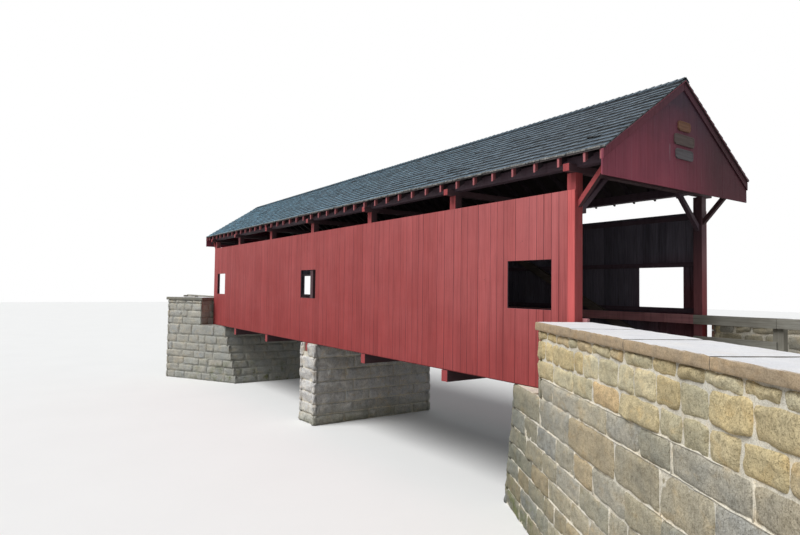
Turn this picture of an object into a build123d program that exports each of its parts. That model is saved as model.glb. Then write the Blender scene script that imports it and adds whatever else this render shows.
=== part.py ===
from build123d import *
from math import atan, cos, radians, sin, tan
import os

# A timber queenpost bridge with a roof, on two stone abutments and one stone pier.
# X runs along the bridge, Y across it, and Z up from the foot of the masonry.
# The middle of the bridge is at X = 0, Y = 0. The near portal is at the -X end, and the left wall is at +Y.
# All sizes are in millimetres.

os.makedirs("parts", exist_ok=True)

sides = (("left", 1), ("right", -1))
ends = (("near", -1), ("far", 1))

# Truss posts
panel = 3750
end_panel = 3450
post_size = 200
house_width = 4692
siding_thickness = 28

# Heights
seat_height = 2680
siding_lift = 20
eave_gap = 320
chord_depth = 300
post_head = 4110

# Roof frame
tie_width = 140
tie_depth = 140
tie_overhang = 190
end_tie_shift = 50
plate_rise = 95
plate_depth = 195
rafter_thickness = 50
rafter_depth = 150
rafter_count = 40
rafter_end_gap = 375
rafter_tail = 200
birdsmouth_heel = 45
roof_rise = 8
roof_run = 12
roof_board_thickness = 20
roof_board_tail = 215
shingle_course = 195
shingle_step = 18
shingle_base = 14
shingle_tail = 228

# Gable hoods
hood_depth = 735
gable_thickness = 25
gable_drop = 285
gable_overhang = 230
gable_girt_width = 100
gable_girt_depth = 150
barge_depth = 140
barge_thickness = 26
barge_joint = 8
roof_end_overhang = 30
hood_brace_width = 100
hood_brace_depth = 90
hood_brace_inset = 60
hood_brace_heel = 25
hood_brace_angle = 48.5
knee_width = 100
knee_depth = 95
knee_run = 730
knee_drop = 650

# Queenpost braces
brace_depth = 200
brace_foot = 450
brace_head_drop = 490
straining_depth = 200

# Walls
girt_thickness = 50
girt_depth = 110
top_girt_drop = 60
window_width = 1160
window_height = 975
window_sill = 1515
end_window_setback = 1030
middle_window = 230

# Floor
beam_width = 220
beam_depth = 270
beam_shift = 210
stringer_width = 100
stringer_depth = 250
stringer_count = 7
stringer_edge_gap = 268
deck_thickness = 75
deck_gap = 20
rail_thickness = 80
rail_depth = 210
rail_height = 1170
rail_overrun = 100
rail_landing = 30

# Masonry
pier_length = 1000
pier_overhang = 34
pier_batter = 20
pocket_clearance = 30
seat_length = 1500
abutment_batter = 700
backwall_gap = 35
backwall_thickness = 500
road_lip = 10
wing_flare = 30
wing_thickness = 900
wing_corner_inset = 206
rail_wall_gap = 5
cap_thickness = 150
cap_overhang = 65
cap_end_overhang = 120
cap_joint = 8
cap_top = 1325
near_slab = 1705
near_slabs = 4
far_slab = 1200
far_slabs = 2

# Guard rails on the approaches
rail_post_setback = 1015
rail_post_count = 3
rail_post_size = 200
rail_post_drop = 40
lower_rail_drop = 270
rail_joint = 6

# Name boards on the near gable
name_board_thickness = 30
name_board_clip = 40
name_boards = ((430, 190, 5160), (700, 210, 4880), (610, 200, 4600))

# Worked-out places
outer_y = house_width / 2
post_y = outer_y - siding_thickness
post_inner_y = post_y - post_size
end_post = 2 * panel + end_panel
post_xs = (-end_post, -2 * panel, -panel, 0, panel, 2 * panel, end_post)
house_end = end_post + post_size / 2
siding_bottom = seat_height + siding_lift
chord_top = seat_height + chord_depth
tie_bottom = seat_height + post_head
siding_top = tie_bottom - eave_gap
tie_top = tie_bottom + tie_depth
plate_bottom = tie_bottom + plate_rise
plate_top = plate_bottom + plate_depth
slope = roof_rise / roof_run
pitch_angle = atan(slope)
rafter_plumb = rafter_depth / cos(pitch_angle)
rafter_top_at_plate = plate_top - birdsmouth_heel + rafter_plumb
deck_bottom = seat_height + stringer_depth
deck_top = deck_bottom + deck_thickness
hood_end = house_end + hood_depth
gable_bottom = plate_bottom - gable_drop
tie_xs = (-end_post - end_tie_shift, *post_xs[1:-1], end_post + end_tie_shift)
flare = radians(wing_flare)
backwall_face = house_end + backwall_gap
backwall_back = backwall_face + backwall_thickness
backwall_top = deck_top - road_lip
wing_corner_x = house_end - wing_corner_inset
cap_reach = (wing_thickness + cap_overhang) * cos(flare) + (cap_end_overhang - cap_joint / 2) * sin(flare)
wing_corner_y = post_inner_y + rail_wall_gap + cap_reach


def roof_line(y):
    """Height of the rafters' upper edge at a distance y from the middle of the bridge."""
    return rafter_top_at_plate + (post_y - abs(y)) * slope


def block(x_span, y_span, z_span, mode=Mode.ADD):
    """A rectangular timber or stone between two limits on each axis."""
    middle = [(low + high) / 2 for low, high in (x_span, y_span, z_span)]
    size = [abs(high - low) for low, high in (x_span, y_span, z_span)]
    with Locations(tuple(middle)):
        Box(*size, mode=mode)


def slab(plane, outline, thickness, mode=Mode.ADD):
    """A piece cut to an outline on a plane and raised from it by its thickness."""
    with BuildSketch(plane) as profile:
        with BuildLine():
            Polyline(*outline, close=True)
        make_face()
    extrude(profile.sketch, amount=thickness, mode=mode)


def side_plane(y):
    """A plane along the bridge, seen from the left, whose thickness runs towards -Y."""
    return Plane(origin=(0, y, 0), x_dir=(1, 0, 0), z_dir=(0, -1, 0))


def cross_plane(x):
    """A plane across the bridge, whose thickness runs towards +X."""
    return Plane(origin=(x, 0, 0), x_dir=(0, 1, 0), z_dir=(1, 0, 0))


# Masonry: each abutment is a seat with a battered face to the water and a backwall that holds the road.
# Its flanks follow the flare of the wing walls.
def wing_point(end, side, along, inward):
    """A point of a wing wall's plan, along the wall from its corner and inwards from its outer face."""
    x = wing_corner_x + along * cos(flare) + inward * sin(flare)
    y = wing_corner_y + along * sin(flare) - inward * cos(flare)
    return (end * x, side * y)


abutment_front = house_end - seat_length
abutment_foot_x = abutment_front - abutment_batter
for end, end_sign in ends:
    front_along = (abutment_foot_x - wing_corner_x) / cos(flare)
    inner_x = wing_point(1, 1, 0, wing_thickness)[0]
    back_along = (backwall_back - inner_x) / cos(flare)
    flank = [
        wing_point(end_sign, 1, front_along, 0),
        wing_point(end_sign, 1, 0, 0),
        wing_point(end_sign, 1, 0, wing_thickness),
        wing_point(end_sign, 1, back_along, wing_thickness),
    ]
    plan = flank + [(x, -y) for x, y in reversed(flank)]
    elevation = [
        (end_sign * abutment_foot_x, 0),
        (end_sign * abutment_front, seat_height),
        (end_sign * backwall_face, seat_height),
        (end_sign * backwall_face, backwall_top),
        (end_sign * backwall_back, backwall_top),
        (end_sign * backwall_back, 0),
    ]
    with BuildPart() as abutment:
        slab(Plane.XY, plan, backwall_top)
        slab(side_plane(wing_corner_y), elevation, 2 * wing_corner_y, Mode.INTERSECT)
    abutment.part.label = f"abutment_{end}"
    export_step(abutment.part, f"parts/abutment_{end}.step")

# Wing walls run down to the foot of the masonry and carry slabs that oversail them.
cap_bottom = siding_bottom + cap_top - cap_thickness
for end, end_sign in ends:
    slab_length = near_slab if end == "near" else far_slab
    slab_count = near_slabs if end == "near" else far_slabs
    cap_length = slab_count * slab_length
    wing_length = cap_length - 2 * cap_end_overhang
    for side, side_sign in sides:
        wing_plan = [
            wing_point(end_sign, side_sign, 0, 0),
            wing_point(end_sign, side_sign, wing_length, 0),
            wing_point(end_sign, side_sign, wing_length, wing_thickness),
            wing_point(end_sign, side_sign, 0, wing_thickness),
        ]
        with BuildPart() as wing:
            slab(Plane.XY, wing_plan, cap_bottom)
        wing.part.label = f"wing_wall_{end}_{side}"
        export_step(wing.part, f"parts/wing_wall_{end}_{side}.step")

        with BuildPart() as cap:
            for number in range(slab_count):
                start = number * slab_length - cap_end_overhang + cap_joint / 2
                stop = start + slab_length - cap_joint
                cap_plan = [
                    wing_point(end_sign, side_sign, start, -cap_overhang),
                    wing_point(end_sign, side_sign, stop, -cap_overhang),
                    wing_point(end_sign, side_sign, stop, wing_thickness + cap_overhang),
                    wing_point(end_sign, side_sign, start, wing_thickness + cap_overhang),
                ]
                slab(Plane.XY.offset(cap_bottom), cap_plan, cap_thickness)
        cap.part.label = f"wing_cap_{end}_{side}"
        export_step(cap.part, f"parts/wing_cap_{end}_{side}.step")

# The pier has a pocket across its top for the middle floor beam.
pier_y = outer_y + pier_overhang
pier_foot = pier_length / 2 + pier_batter
pocket_x = (beam_shift - beam_width / 2 - pocket_clearance, beam_shift + beam_width / 2 + pocket_clearance)
with BuildPart() as pier:
    pier_outline = [
        (-pier_foot, 0),
        (pier_foot, 0),
        (pier_length / 2, seat_height),
        (-pier_length / 2, seat_height),
    ]
    slab(side_plane(pier_y), pier_outline, 2 * pier_y)
    block(
        pocket_x,
        (-pier_y, pier_y),
        (seat_height - beam_depth - pocket_clearance, seat_height),
        Mode.SUBTRACT,
    )
pier.part.label = "pier"
export_step(pier.part, "parts/pier.step")

# Floor beams hang under the chords, one beside each inner post, with their ends showing below the siding.
with BuildPart() as floor_beams:
    for x in post_xs[1:-1]:
        beam_x = x + beam_shift
        block(
            (beam_x - beam_width / 2, beam_x + beam_width / 2),
            (-outer_y, outer_y),
            (seat_height - beam_depth, seat_height),
        )
floor_beams.part.label = "floor_beams"
export_step(floor_beams.part, "parts/floor_beams.step")

# Stringers lie on the floor beams and on the seats, and the plank deck lies on them.
stringer_reach = post_inner_y - stringer_edge_gap - stringer_width / 2
with BuildPart() as stringers:
    for number in range(stringer_count):
        y = stringer_reach * (2 * number / (stringer_count - 1) - 1)
        block(
            (-house_end, house_end),
            (y - stringer_width / 2, y + stringer_width / 2),
            (seat_height, deck_bottom),
        )
stringers.part.label = "stringers"
export_step(stringers.part, "parts/stringers.step")

deck_y = post_inner_y - deck_gap
with BuildPart() as deck:
    block((-house_end, house_end), (-deck_y, deck_y), (deck_bottom, deck_top))
deck.part.label = "deck"
export_step(deck.part, "parts/deck.step")

# Each truss stands on a bottom chord. Its long braces rise over two panels to the queen posts,
# which a straining beam holds apart. The braces lap the posts between.
brace_x_foot = end_post - post_size / 2 - brace_foot
brace_x_head = panel + post_size / 2
brace_z_head = tie_bottom - brace_head_drop
brace_width = post_size - girt_thickness
brace_slope = (brace_z_head - chord_top) / (brace_x_foot - brace_x_head)
brace_plumb = brace_depth / cos(atan(brace_slope))


def brace_outline(end_sign):
    """The long brace's outline, cut level on the chord and plumb against the queen post."""
    foot_reach = brace_plumb / 2 / brace_slope
    return [
        (end_sign * (brace_x_foot + foot_reach), chord_top),
        (end_sign * (brace_x_foot - foot_reach), chord_top),
        (end_sign * brace_x_head, brace_z_head - brace_plumb / 2),
        (end_sign * brace_x_head, brace_z_head + brace_plumb / 2),
    ]


for side, side_sign in sides:
    post_face = side_sign * post_y
    post_back = side_sign * post_inner_y
    lap_face = side_sign * (post_y - girt_thickness)
    with BuildPart() as chord:
        block((-house_end, house_end), (post_face, post_back), (seat_height, chord_top))
    chord.part.label = f"bottom_chord_{side}"
    export_step(chord.part, f"parts/bottom_chord_{side}.step")

    brace_side = max(lap_face, post_back)
    with BuildPart() as braces:
        for end, end_sign in ends:
            slab(side_plane(brace_side), brace_outline(end_sign), brace_width)
    braces.part.label = f"braces_{side}"
    export_step(braces.part, f"parts/braces_{side}.step")

    with BuildPart() as posts:
        for x in post_xs:
            block(
                (x - post_size / 2, x + post_size / 2),
                (post_face, post_back),
                (chord_top, tie_bottom),
            )
        for end, end_sign in ends:
            slab(side_plane(brace_side), brace_outline(end_sign), brace_width, Mode.SUBTRACT)
    posts.part.label = f"posts_{side}"
    export_step(posts.part, f"parts/posts_{side}.step")

    with BuildPart() as straining_beam:
        for end, end_sign in ends:
            block(
                (end_sign * post_size / 2, end_sign * (panel - post_size / 2)),
                (lap_face, post_back),
                (brace_z_head - straining_depth / 2, brace_z_head + straining_depth / 2),
            )
    straining_beam.part.label = f"straining_beam_{side}"
    export_step(straining_beam.part, f"parts/straining_beam_{side}.step")

# Tie beams lie across the post heads, with their ends out under the eaves.
tie_reach = outer_y + tie_overhang
with BuildPart() as tie_beams:
    for x in tie_xs:
        block(
            (x - tie_width / 2, x + tie_width / 2),
            (-tie_reach, tie_reach),
            (tie_bottom, tie_top),
        )
tie_beams.part.label = "tie_beams"
export_step(tie_beams.part, "parts/tie_beams.step")

# Top plates are cogged over the tie beams and run on to the gables.
for side, side_sign in sides:
    with BuildPart() as plate:
        block(
            (-hood_end, hood_end),
            (side_sign * post_y, side_sign * post_inner_y),
            (plate_bottom, plate_top),
        )
        for x in tie_xs:
            block(
                (x - tie_width / 2, x + tie_width / 2),
                (side_sign * post_y, side_sign * post_inner_y),
                (tie_bottom, tie_top),
                Mode.SUBTRACT,
            )
    plate.part.label = f"top_plate_{side}"
    export_step(plate.part, f"parts/top_plate_{side}.step")

# Knee braces stiffen the portals between the end posts and the end tie beams.
with BuildPart() as knee_braces:
    for end, end_sign in ends:
        for side, side_sign in sides:
            knee_foot = tie_bottom - knee_drop
            knee_cut = knee_depth / cos(atan(knee_run / knee_drop))
            knee_flat = knee_depth / cos(atan(knee_drop / knee_run))
            outline = [
                (side_sign * post_inner_y, knee_foot),
                (side_sign * post_inner_y, knee_foot - knee_cut),
                (side_sign * (post_inner_y - knee_run - knee_flat), tie_bottom),
                (side_sign * (post_inner_y - knee_run), tie_bottom),
            ]
            slab(cross_plane(end_sign * end_post - knee_width / 2), outline, knee_width)
knee_braces.part.label = "knee_braces"
export_step(knee_braces.part, "parts/knee_braces.step")

# Hood braces carry the ends of the plates, in the plane of the trusses.
girt_inner = hood_end - gable_girt_width
hood_slope = tan(radians(hood_brace_angle))
hood_foot = plate_bottom - hood_brace_heel - (girt_inner - house_end) * hood_slope
hood_cut = hood_brace_depth / cos(radians(hood_brace_angle))
hood_head_x = house_end + (plate_bottom - hood_foot - hood_cut) / hood_slope
with BuildPart() as hood_braces:
    for end, end_sign in ends:
        for side, side_sign in sides:
            outline = [
                (end_sign * house_end, hood_foot),
                (end_sign * house_end, hood_foot + hood_cut),
                (end_sign * hood_head_x, plate_bottom),
                (end_sign * girt_inner, plate_bottom),
                (end_sign * girt_inner, hood_foot + (girt_inner - house_end) * hood_slope),
            ]
            outer_face = side_sign * (post_y - hood_brace_inset)
            inner_face = side_sign * (post_y - hood_brace_inset - hood_brace_width)
            slab(side_plane(max(outer_face, inner_face)), outline, hood_brace_width)
hood_braces.part.label = "hood_braces"
export_step(hood_braces.part, "parts/hood_braces.step")

# Rafters seat on the plates with a birdsmouth, are notched over any tie beam below them,
# and meet in pairs at the ridge.
last_rafter = hood_end - rafter_end_gap
rafter_xs = [last_rafter * (2 * number / (rafter_count - 1) - 1) for number in range(rafter_count)]
barge_rafter_x = hood_end - rafter_thickness / 2
rafter_xs = [-barge_rafter_x] + rafter_xs + [barge_rafter_x]
tail_y = outer_y + rafter_tail
birdsmouth_seat = birdsmouth_heel / slope
for side, side_sign in sides:
    outline = [
        (side_sign * tail_y, roof_line(tail_y)),
        (0, roof_line(0)),
        (0, roof_line(0) - rafter_plumb),
        (side_sign * (post_y - birdsmouth_seat), plate_top),
        (side_sign * post_y, plate_top),
        (side_sign * post_y, plate_top - birdsmouth_heel),
        (side_sign * tail_y, roof_line(tail_y) - rafter_plumb),
    ]
    with BuildPart() as rafters:
        for x in rafter_xs:
            slab(cross_plane(x - rafter_thickness / 2), outline, rafter_thickness)
        for x in tie_xs:
            block(
                (x - tie_width / 2, x + tie_width / 2),
                (side_sign * tie_reach, 0),
                (tie_bottom, tie_top),
                Mode.SUBTRACT,
            )
    rafters.part.label = f"rafters_{side}"
    export_step(rafters.part, f"parts/rafters_{side}.step")

# Roof boards cover the rafters.
roof_end = hood_end + gable_thickness + barge_thickness + roof_end_overhang
board_plumb = roof_board_thickness / cos(pitch_angle)
board_y = outer_y + roof_board_tail
for side, side_sign in sides:
    outline = [
        (side_sign * board_y, roof_line(board_y)),
        (0, roof_line(0)),
        (0, roof_line(0) + board_plumb),
        (side_sign * board_y, roof_line(board_y) + board_plumb),
    ]
    with BuildPart() as roof_boards:
        slab(cross_plane(-roof_end), outline, 2 * roof_end)
    roof_boards.part.label = f"roof_boards_{side}"
    export_step(roof_boards.part, f"parts/roof_boards_{side}.step")

# Wooden shingles lie in courses, and each course steps up over the one below it.
shingle_y = outer_y + shingle_tail
course_run = shingle_course * cos(pitch_angle)
shingle_plumb = shingle_base / cos(pitch_angle)
step_plumb = shingle_step / cos(pitch_angle)
course_count = int(shingle_y / course_run)
for side, side_sign in sides:
    outline = [(0, roof_line(0) + board_plumb), (side_sign * shingle_y, roof_line(shingle_y) + board_plumb)]
    for course in range(course_count + 1):
        butt_y = shingle_y - course * course_run
        head_y = max(butt_y - course_run, 0)
        butt_z = roof_line(butt_y) + board_plumb + shingle_plumb + step_plumb
        head_z = roof_line(head_y) + board_plumb + shingle_plumb
        outline += [(side_sign * butt_y, butt_z), (side_sign * head_y, head_z)]
    with BuildPart() as shingles:
        slab(cross_plane(-roof_end), outline, 2 * roof_end)
    shingles.part.label = f"shingle_roof_{side}"
    export_step(shingles.part, f"parts/shingle_roof_{side}.step")

# Siding: upright boards over the trusses, with an open strip left under the eaves and three windows a side.
end_window = end_post - end_window_setback
for side, side_sign in sides:
    with BuildPart() as siding:
        block(
            (-house_end, house_end),
            (side_sign * outer_y, side_sign * post_y),
            (siding_bottom, siding_top),
        )
        for x in (-end_window, middle_window, end_window):
            block(
                (x - window_width / 2, x + window_width / 2),
                (side_sign * outer_y, side_sign * post_y),
                (siding_bottom + window_sill, siding_bottom + window_sill + window_height),
                Mode.SUBTRACT,
            )
    siding.part.label = f"siding_{side}"
    export_step(siding.part, f"parts/siding_{side}.step")

# Girts run between the posts behind the siding: under the windows, over them and at the top.
sill_girt_top = siding_bottom + window_sill
head_girt_bottom = sill_girt_top + window_height
girt_bottoms = (sill_girt_top - girt_depth, head_girt_bottom, siding_top - top_girt_drop - girt_depth)
for side, side_sign in sides:
    with BuildPart() as girts:
        for first, second in zip(post_xs, post_xs[1:]):
            for z in girt_bottoms:
                block(
                    (first + post_size / 2, second - post_size / 2),
                    (side_sign * post_y, side_sign * (post_y - girt_thickness)),
                    (z, z + girt_depth),
                )
    girts.part.label = f"girts_{side}"
    export_step(girts.part, f"parts/girts_{side}.step")

# Inside guard rails are fixed to the posts. They run a little past the portals,
# or end on the portal post where an approach rail carries on.
rail_bottom = siding_bottom + rail_height
rail_top = rail_bottom + rail_depth
rail_end = house_end + rail_overrun
rail_meeting = end_post - post_size / 2 + rail_landing
with BuildPart() as guard_rails:
    for side, side_sign in sides:
        block(
            (-side_sign * rail_end, side_sign * rail_meeting),
            (side_sign * post_inner_y, side_sign * (post_inner_y - rail_thickness)),
            (rail_bottom, rail_top),
        )
guard_rails.part.label = "guard_rails"
export_step(guard_rails.part, "parts/guard_rails.step")

# Gables hang in front of the portals on girts under the plates and on the outermost rafters.
gable_y = outer_y + gable_overhang
gable_outline = [
    (-gable_y, gable_bottom),
    (gable_y, gable_bottom),
    (gable_y, roof_line(gable_y)),
    (0, roof_line(0)),
    (-gable_y, roof_line(gable_y)),
]
barge_plumb = barge_depth / cos(pitch_angle)
with BuildPart() as gable_girts:
    for end, end_sign in ends:
        block(
            (end_sign * hood_end, end_sign * girt_inner),
            (-post_y, post_y),
            (plate_bottom - gable_girt_depth, plate_bottom),
        )
gable_girts.part.label = "gable_girts"
export_step(gable_girts.part, "parts/gable_girts.step")

for end, end_sign in ends:
    gable_x = hood_end if end_sign > 0 else -hood_end - gable_thickness
    with BuildPart() as gable:
        slab(cross_plane(gable_x), gable_outline, gable_thickness)
    gable.part.label = f"gable_{end}"
    export_step(gable.part, f"parts/gable_{end}.step")

    barge_x = hood_end + gable_thickness
    barge_plane_x = barge_x if end_sign > 0 else -barge_x - barge_thickness
    with BuildPart() as barge_boards:
        for side, side_sign in sides:
            outline = [
                (side_sign * gable_y, roof_line(gable_y)),
                (side_sign * barge_joint / 2, roof_line(barge_joint / 2)),
                (side_sign * barge_joint / 2, roof_line(barge_joint / 2) - barge_plumb),
                (side_sign * gable_y, roof_line(gable_y) - barge_plumb),
            ]
            slab(cross_plane(barge_plane_x), outline, barge_thickness)
    barge_boards.part.label = f"barge_boards_{end}"
    export_step(barge_boards.part, f"parts/barge_boards_{end}.step")

# Three bare name boards with clipped corners are fixed to the near gable.
with BuildPart() as name_plates:
    for width, height, lift in name_boards:
        board_plane = Plane(
            origin=(-hood_end - gable_thickness, 0, siding_bottom + lift),
            x_dir=(0, -1, 0),
            z_dir=(-1, 0, 0),
        )
        with BuildSketch(board_plane):
            Rectangle(width, height)
            chamfer(vertices(), name_board_clip)
        extrude(amount=name_board_thickness)
name_plates.part.label = "name_boards"
export_step(name_plates.part, "parts/name_boards.step")

# Weathered rails run on from the guard rails along one side of each approach, on posts behind them.
# A lower rail fills the first bay.
approach_end = wing_point(1, 1, near_slabs * near_slab - cap_end_overhang, wing_thickness + cap_overhang)[0]
first_rail_post = backwall_back + rail_post_setback
last_rail_post = approach_end - rail_post_size / 2
rail_post_pitch = (last_rail_post - first_rail_post) / (rail_post_count - 1)
post_places = [first_rail_post + number * rail_post_pitch for number in range(rail_post_count)]
with BuildPart() as approach_posts:
    for end, end_sign in ends:
        for x in post_places:
            block(
                (end_sign * x - rail_post_size / 2, end_sign * x + rail_post_size / 2),
                (end_sign * post_inner_y, end_sign * (post_inner_y + rail_post_size)),
                (0, rail_top - rail_post_drop),
            )
approach_posts.part.label = "approach_posts"
export_step(approach_posts.part, "parts/approach_posts.step")

rail_breaks = [rail_meeting] + post_places[:-1] + [approach_end]
with BuildPart() as approach_rails:
    for end, end_sign in ends:
        for start, stop in zip(rail_breaks, rail_breaks[1:]):
            joint = 0 if stop == approach_end else rail_joint
            block(
                (end_sign * start, end_sign * (stop - joint)),
                (end_sign * post_inner_y, end_sign * (post_inner_y - rail_thickness)),
                (rail_bottom, rail_top),
            )
        block(
            (end_sign * rail_meeting, end_sign * (first_rail_post - rail_joint)),
            (end_sign * post_inner_y, end_sign * (post_inner_y - rail_thickness)),
            (rail_bottom - lower_rail_drop - rail_depth, rail_bottom - lower_rail_drop),
        )
approach_rails.part.label = "approach_rails"
export_step(approach_rails.part, "parts/approach_rails.step")
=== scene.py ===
import math
import random

import bmesh
import bpy
from mathutils import Matrix, Vector, noise


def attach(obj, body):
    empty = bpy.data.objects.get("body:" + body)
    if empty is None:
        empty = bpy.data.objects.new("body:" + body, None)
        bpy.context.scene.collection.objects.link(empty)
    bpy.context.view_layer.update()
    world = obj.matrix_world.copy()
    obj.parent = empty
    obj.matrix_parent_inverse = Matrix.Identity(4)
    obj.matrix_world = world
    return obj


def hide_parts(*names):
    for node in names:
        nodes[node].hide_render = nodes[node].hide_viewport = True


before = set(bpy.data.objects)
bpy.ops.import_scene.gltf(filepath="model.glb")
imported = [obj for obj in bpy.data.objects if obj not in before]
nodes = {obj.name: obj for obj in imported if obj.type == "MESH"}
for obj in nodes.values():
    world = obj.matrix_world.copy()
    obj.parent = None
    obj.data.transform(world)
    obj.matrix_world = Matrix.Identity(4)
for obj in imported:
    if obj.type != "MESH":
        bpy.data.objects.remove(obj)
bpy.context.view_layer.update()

# Abutments and wing walls.
# Coursed, squared sandstone rubble on both banks: stones bedded in pale lime mortar on a rough core, with the wing
# walls flared out from the seats that carry the trusses. The solid is the core and its joints, the stones stand on it.


class Bench:
    """Where shader nodes are being put together: the open node tree, and the shader of the finish in hand."""
    tree = surface = None


def add_node(kind, feeds=None, **settings):
    """A shader node whose inputs are constants or the outputs of other nodes."""
    made = Bench.tree.nodes.new("ShaderNode" + kind)
    for key, value in settings.items():
        setattr(made, key, value)
    for key, value in (feeds or {}).items():
        if isinstance(value, bpy.types.NodeSocket):
            Bench.tree.links.new(value, made.inputs[key])
        else:
            made.inputs[key].default_value = value
    return made


def mix(factor, first, second, mode="MIX"):
    """One colour laid over another by a mask."""
    first, second = ((*tint, 1) if isinstance(tint, tuple) else tint for tint in (first, second))
    made = add_node("Mix", {0: factor, 6: first, 7: second}, data_type="RGBA", blend_type=mode)
    return made.outputs[2]


def multiply(factor, tint, by):
    """A colour multiplied by another where a mask says so."""
    return mix(factor, tint, by, "MULTIPLY")


def split(vector):
    """The X, Y and Z of a position or a direction."""
    return add_node("SeparateXYZ", {0: vector}).outputs


def unsigned(value):
    """How far a value is from nought."""
    return add_node("Math", {0: value}, operation="ABSOLUTE").outputs[0]


def work_out(operation, first, others):
    """Numbers worked into one, from the first to the last."""
    for other in others:
        first = add_node("Math", {0: first, 1: other}, operation=operation).outputs[0]
    return first


def times(first, *others):
    """Numbers or masks multiplied."""
    return work_out("MULTIPLY", first, others)


def plus(first, *others):
    """Numbers added up."""
    return work_out("ADD", first, others)


def minus(first, *others):
    """Numbers taken off the first one."""
    return work_out("SUBTRACT", first, others)


def spread(value, low, high, to_low=0.0, to_high=1.0):
    """A value stretched from one range to another and held inside it."""
    return add_node("MapRange", {0: value, 1: low, 2: high, 3: to_low, 4: to_high}).outputs[0]


def below(value, low, high):
    """A mask that is full below a range and gone above it."""
    return spread(value, low, high, 1.0, 0.0)


def cloud(position, stretch, detail=4.0, rough=0.55, distort=0.0):
    """Noise over the surface, stretched the same along all axes, or along each by its own number."""
    stretch = stretch if isinstance(stretch, tuple) else (stretch, stretch, stretch)
    moved = add_node("VectorMath", {0: position, 1: stretch}, operation="MULTIPLY").outputs[0]
    made = add_node("TexNoise", {"Vector": moved, "Scale": 1.0, "Detail": detail, "Roughness": rough,
                                 "Distortion": distort})
    return made.outputs["Fac"]


def ramp(value, stops):
    """A row of colours picked by a value."""
    made = add_node("ValToRGB", {0: value})
    made.color_ramp.interpolation = "LINEAR"
    while len(made.color_ramp.elements) < len(stops):
        made.color_ramp.elements.new(1.0)
    for element, (place, tint) in zip(made.color_ramp.elements, stops):
        element.position = place
        element.color = (*tint, 1.0)
    return made.outputs[0]


def new_group(name, inputs, outputs):
    """An empty node group with its sockets, for an effect that several finishes share."""
    group = bpy.data.node_groups.new(name, "ShaderNodeTree")
    for title, kind, value in inputs:
        socket = group.interface.new_socket(title, in_out="INPUT", socket_type="NodeSocket" + kind)
        if value is not None:
            socket.default_value = value
    for title, kind in outputs:
        group.interface.new_socket(title, in_out="OUTPUT", socket_type="NodeSocket" + kind)
    Bench.tree = group
    return group, group.nodes.new("NodeGroupInput").outputs, group.nodes.new("NodeGroupOutput").inputs


def use_group(group, feeds):
    """A node group placed in a finish."""
    return add_node("Group", feeds, node_tree=group).outputs


def new_finish(name, roughness):
    """A material with its surface shader, and the place on the object that its patterns follow."""
    material = bpy.data.materials.new(name)
    material.use_nodes = True
    Bench.tree = material.node_tree
    Bench.surface = Bench.tree.nodes["Principled BSDF"].inputs
    Bench.surface["Roughness"].default_value = roughness
    Bench.surface["Specular IOR Level"].default_value = 0.3
    return material, add_node("TexCoord").outputs["Object"]


def set_surface(colour, height, depth, rough=None):
    """The colour, relief and roughness pattern joined to the shader."""
    bump = add_node("Bump", {"Strength": 1.0, "Distance": depth, "Height": height}).outputs[0]
    for socket, name in ((colour, "Base Color"), (bump, "Normal"), (rough, "Roughness")):
        if socket is not None:
            Bench.tree.links.new(socket, Bench.surface[name])


def own_value(name):
    """A number that each stone, board or shingle carries for itself."""
    return add_node("Attribute", attribute_name=name, attribute_type="GEOMETRY").outputs["Fac"]


# The face of a weathered stone: blotches, rust, sand grain, chisel marks, small pits and damp stains that run down.
stone_face, given, result = new_group(
    "stone_face",
    [("Position", "Vector", None), ("Color", "Color", (0.4, 0.37, 0.3, 1)), ("Pits", "Float", 0.5),
     ("Stain", "Float", 0.4), ("Tooling", "Float", 0.5)],
    [("Color", "Color"), ("Height", "Float")])
position = given["Position"]
blotch = cloud(position, 3.6, 3.0, 0.5)
rust = cloud(position, (3.1, 3.1, 4.3), 4.0, 0.6, 0.6)
grain = cloud(position, 70.0, 6.0, 0.7)
crust = cloud(position, 17.0, 6.0, 0.68)
chisel = cloud(position, (26.0, 26.0, 15.0), 5.0, 0.65, 1.4)
damp = cloud(position, (1.6, 1.6, 0.5), 4.0, 0.6)
pit = add_node("TexVoronoi", {"Vector": position, "Scale": 42.0}).outputs["Distance"]
pit_mask = times(below(pit, 0.12, 0.30), given["Pits"])
marks = times(spread(chisel, 0.52, 0.64), given["Tooling"])
stain = times(spread(damp, 0.5, 0.7), given["Stain"])
tint = given["Color"]
for mask, by in ((spread(blotch, 0.35, 0.68, 0.0, 0.75), (1.26, 1.2, 1.1)),
                 (spread(rust, 0.54, 0.70, 0.0, 0.5), (1.10, 0.94, 0.72)),
                 (spread(crust, 0.50, 0.68, 0.0, 0.6), (0.60, 0.59, 0.56)),
                 (spread(grain, 0.42, 0.70, 0.0, 0.8), (0.52, 0.50, 0.46)),
                 (marks, (0.64, 0.62, 0.58)), (pit_mask, (0.45, 0.42, 0.38)), (stain, (0.5, 0.5, 0.49))):
    tint = multiply(mask, tint, by)
relief = minus(plus(times(crust, 0.7), times(grain, 0.25)), times(marks, 0.5), times(pit_mask, 0.2))
Bench.tree.links.new(tint, result["Color"])
Bench.tree.links.new(relief, result["Height"])


def stone_surface(place, tint, pits, stain, tooling, depth):
    """A weathered stone face of one colour, joined to the shader."""
    face = use_group(stone_face, {"Position": place, "Color": tint, "Pits": pits, "Stain": stain, "Tooling": tooling})
    set_surface(face["Color"], face["Height"], depth)


def on_far_bank(place):
    """Mask of the far half of the bridge."""
    return spread(split(place)["X"], 1.0, 3.0)


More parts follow.
